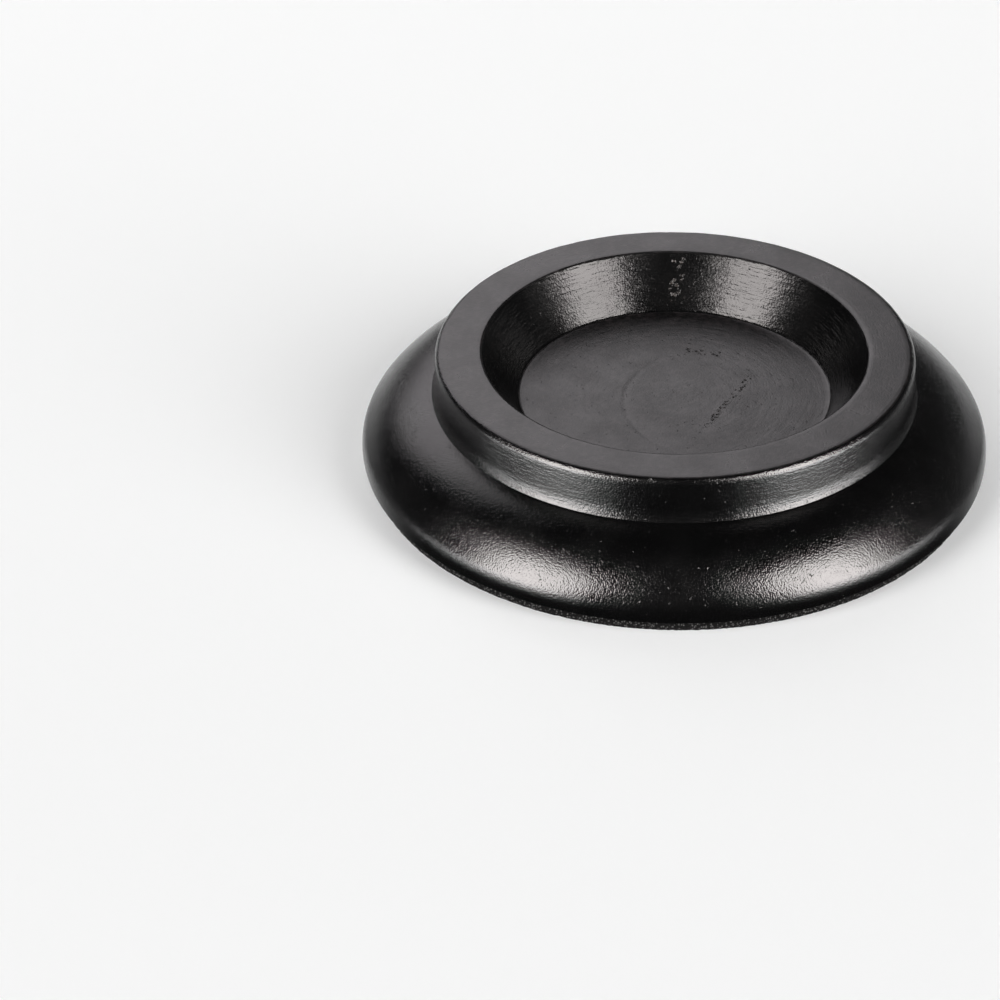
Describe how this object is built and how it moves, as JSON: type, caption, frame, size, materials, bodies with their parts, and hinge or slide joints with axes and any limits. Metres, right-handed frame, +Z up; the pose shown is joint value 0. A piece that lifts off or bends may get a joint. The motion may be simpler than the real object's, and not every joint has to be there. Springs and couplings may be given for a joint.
{
  "type": "castor cup",
  "caption": "Round turned wooden castor cup in satin black paint: a tapered recess for a furniture wheel, a flared collar, a rounded bulge and a glued foam pad underneath.",
  "frame": {"origin": "on the cup's axis, at the underside of the foam pad, where the cup stands on the floor", "axes": "+Z up along the axis of turning, out of the recess; the cup is round, so +X and +Y are free"},
  "size_m": [0.098, 0.098, 0.0194],
  "materials": {
    "black_painted_wood": "satin black paint with a fine orange-peel grain",
    "black_foam": "matt, granular cut foam"
  },
  "bodies": {
    "root": {"cup_body": "black_painted_wood", "foam_pad": "black_foam"}
  },
  "joints": []
}
